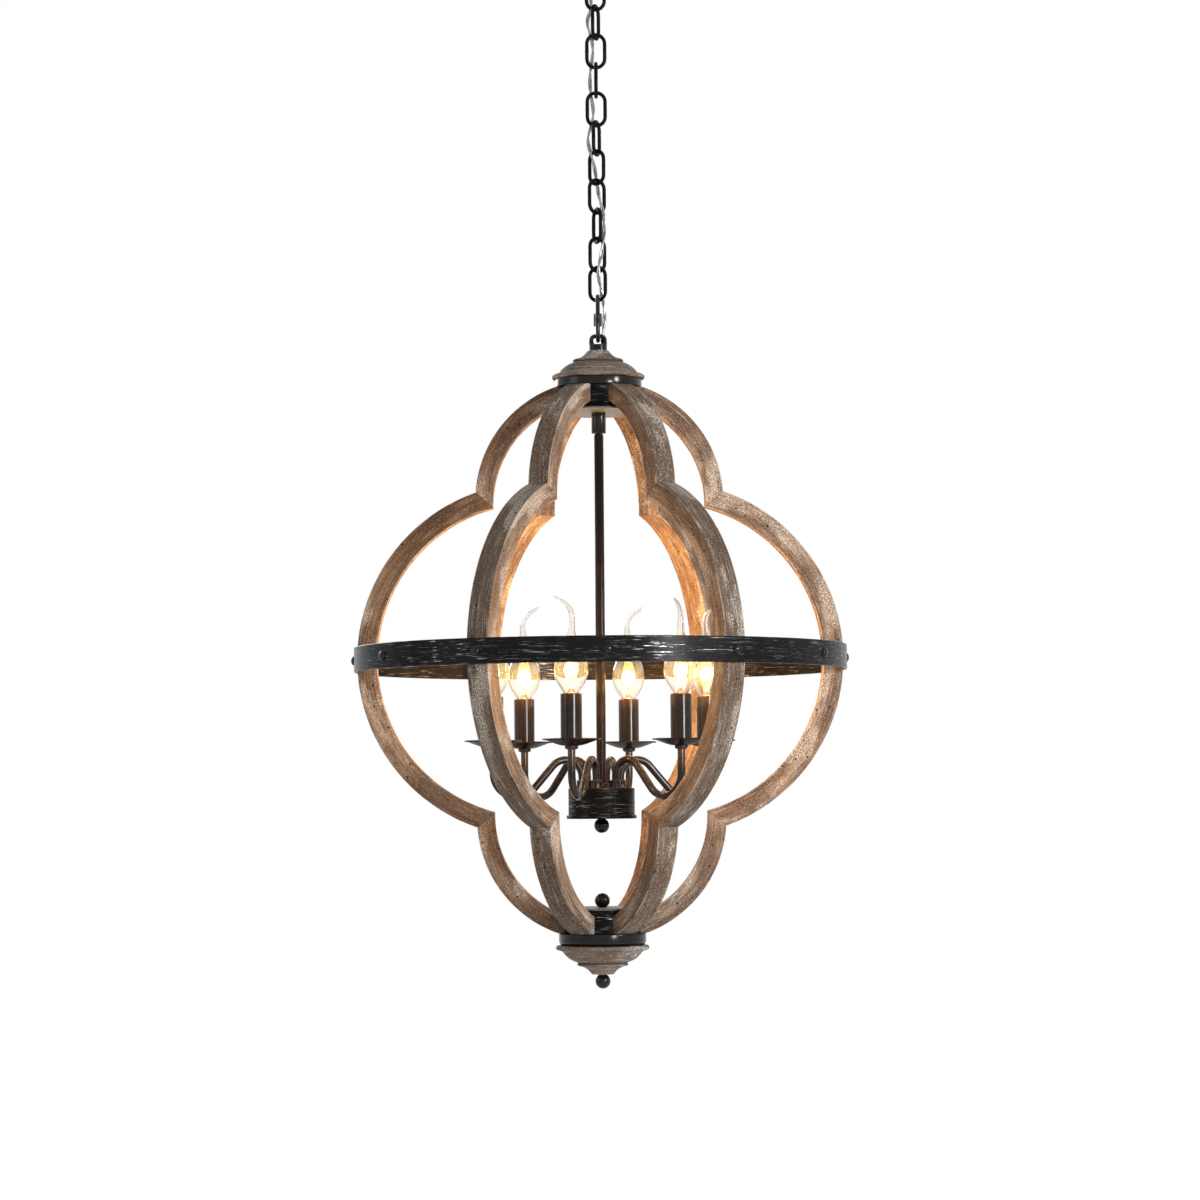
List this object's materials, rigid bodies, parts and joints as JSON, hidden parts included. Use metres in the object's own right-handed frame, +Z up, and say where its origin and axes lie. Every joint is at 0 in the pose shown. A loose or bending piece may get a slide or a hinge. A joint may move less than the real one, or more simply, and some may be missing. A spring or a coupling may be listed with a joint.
{
  "type": "pendant light",
  "caption": "Hanging light: a round cage of curved wood ribs tied by an iron ring, with a cluster of candle lamps inside, on a chain with a canopy.",
  "frame": {"origin": "on the ceiling, at the middle of the mounting strap", "axes": "+Z up into the ceiling, the light hangs along -Z; -Y faces the viewer of the picture; +X to that viewer's right, along the strap"},
  "size_m": [0.5256, 0.5256, 1.1285],
  "materials": {
    "zinc_steel": "satin",
    "earth_green": "gloss",
    "black_iron": "satin",
    "brushed_black": "brushed, black in the grooves",
    "pale_disc": "matte",
    "clear_flex": "clear over bright strands",
    "driftwood": "weathered grey-brown, whitewashed",
    "turned_wood": "weathered brown",
    "dark_bronze": "gloss",
    "lampholder": "matte",
    "clear_glass": "clear"
  },
  "bodies": {
    "ceiling_fitting": {"mounting_strap": "zinc_steel", "ground_screw": "earth_green", "threaded_nipple": "zinc_steel", "nipple_nut": "zinc_steel", "canopy_loop": "black_iron", "power_cord": "clear_flex"},
    "canopy_body": {"canopy": "black_iron", "canopy_ring_nut": "black_iron"},
    "link_01": {"chain_link_01": "black_iron"},
    "link_02": {"chain_link_02": "black_iron"},
    "link_03": {"chain_link_03": "black_iron"},
    "link_04": {"chain_link_04": "black_iron"},
    "link_05": {"chain_link_05": "black_iron"},
    "link_06": {"chain_link_06": "black_iron"},
    "link_07": {"chain_link_07": "black_iron"},
    "link_08": {"chain_link_08": "black_iron"},
    "link_09": {"chain_link_09": "black_iron"},
    "link_10": {"chain_link_10": "black_iron"},
    "link_11": {"chain_link_11": "black_iron"},
    "quick_link": {"screw_link": "black_iron"},
    "lamp": {"stem_loop": "black_iron", "hub_caps": "turned_wood", "hub_plates": "black_iron", "hub_drums": "brushed_black", "hub_discs": "pale_disc", "tie_rods": "zinc_steel", "ball_finials": "black_iron", "ring_band": "brushed_black", "band_rivets": "black_iron", "rod_coupler": "dark_bronze", "rod": "dark_bronze", "cluster_drum": "dark_bronze", "cluster_cover": "dark_bronze", "arms": "dark_bronze", "arm_ferrules": "dark_bronze", "arm_collars": "dark_bronze", "cups": "dark_bronze", "candle_sleeves": "dark_bronze", "sockets": "lampholder", "rib_1": "driftwood", "rib_2": "driftwood", "rib_3": "driftwood", "rib_4": "driftwood", "rib_5": "driftwood", "rib_6": "driftwood"},
    "bulb_1_body": {"bulb_1": "clear_glass"},
    "bulb_2_body": {"bulb_2": "clear_glass"},
    "bulb_3_body": {"bulb_3": "clear_glass"},
    "bulb_4_body": {"bulb_4": "clear_glass"},
    "bulb_5_body": {"bulb_5": "clear_glass"},
    "bulb_6_body": {"bulb_6": "clear_glass"}
  },
  "joints": [
    {"name": "canopy_drop", "type": "slide", "parent": "ceiling_fitting", "child": "canopy_body", "axis": [0, 0, -1], "range_m": [0, 0.022]},
    {"name": "link_01_swing", "type": "hinge", "parent": "ceiling_fitting", "child": "link_01", "pos_m": [0, 0, -0.0563], "axis": [0, 1, 0], "range_deg": [-10, 10], "deforming": ["power_cord"]},
    {"name": "link_02_swing", "type": "hinge", "parent": "link_01", "child": "link_02", "pos_m": [0, 0, -0.0871], "axis": [1, 0, 0], "range_deg": [-10, 10], "deforming": ["power_cord"]},
    {"name": "link_03_swing", "type": "hinge", "parent": "link_02", "child": "link_03", "pos_m": [0, 0, -0.1184], "axis": [0.3256, 0.9455, 0], "range_deg": [-10, 10], "deforming": ["power_cord"]},
    {"name": "link_04_swing", "type": "hinge", "parent": "link_03", "child": "link_04", "pos_m": [0, 0, -0.1497], "axis": [1, 0, 0], "range_deg": [-10, 10], "deforming": ["power_cord"]},
    {"name": "link_05_swing", "type": "hinge", "parent": "link_04", "child": "link_05", "pos_m": [0, 0, -0.181], "axis": [0, 1, 0], "range_deg": [-10, 10], "deforming": ["power_cord"]},
    {"name": "link_06_swing", "type": "hinge", "parent": "link_05", "child": "link_06", "pos_m": [0, 0, -0.2123], "axis": [1, 0, 0], "range_deg": [-10, 10], "deforming": ["power_cord"]},
    {"name": "link_07_swing", "type": "hinge", "parent": "link_06", "child": "link_07", "pos_m": [0, 0, -0.2436], "axis": [0.3256, 0.9455, 0], "range_deg": [-10, 10], "deforming": ["power_cord"]},
    {"name": "link_08_swing", "type": "hinge", "parent": "link_07", "child": "link_08", "pos_m": [0, 0, -0.2749], "axis": [-0.7771, 0.6293, 0], "range_deg": [-10, 10], "deforming": ["power_cord"]},
    {"name": "link_09_swing", "type": "hinge", "parent": "link_08", "child": "link_09", "pos_m": [0, 0, -0.3062], "axis": [-0.8192, -0.5736, 0], "range_deg": [-10, 10], "deforming": ["power_cord"]},
    {"name": "link_10_swing", "type": "hinge", "parent": "link_09", "child": "link_10", "pos_m": [0, 0, -0.3375], "axis": [0.3907, -0.9205, 0], "range_deg": [-10, 10], "deforming": ["power_cord"]},
    {"name": "link_11_swing", "type": "hinge", "parent": "link_10", "child": "link_11", "pos_m": [0, 0, -0.3688], "axis": [0.809, 0.5878, 0], "range_deg": [-10, 10], "deforming": ["power_cord"]},
    {"name": "quick_link_swing", "type": "hinge", "parent": "link_11", "child": "quick_link", "pos_m": [0, 0, -0.4001], "axis": [-0.866, 0.5, 0], "range_deg": [-10, 10], "deforming": ["power_cord"]},
    {"name": "lamp_swing", "type": "hinge", "parent": "quick_link", "child": "lamp", "pos_m": [0, 0, -0.44305], "axis": [0, 1, 0], "range_deg": [-10, 10], "deforming": ["power_cord"]},
    {"name": "bulb_1_out", "type": "slide", "parent": "lamp", "child": "bulb_1_body", "axis": [0, 0, 1], "range_m": [0, 0.03]},
    {"name": "bulb_2_out", "type": "slide", "parent": "lamp", "child": "bulb_2_body", "axis": [0, 0, 1], "range_m": [0, 0.03]},
    {"name": "bulb_3_out", "type": "slide", "parent": "lamp", "child": "bulb_3_body", "axis": [0, 0, 1], "range_m": [0, 0.03]},
    {"name": "bulb_4_out", "type": "slide", "parent": "lamp", "child": "bulb_4_body", "axis": [0, 0, 1], "range_m": [0, 0.03]},
    {"name": "bulb_5_out", "type": "slide", "parent": "lamp", "child": "bulb_5_body", "axis": [0, 0, 1], "range_m": [0, 0.03]},
    {"name": "bulb_6_out", "type": "slide", "parent": "lamp", "child": "bulb_6_body", "axis": [0, 0, 1], "range_m": [0, 0.03]}
  ]
}
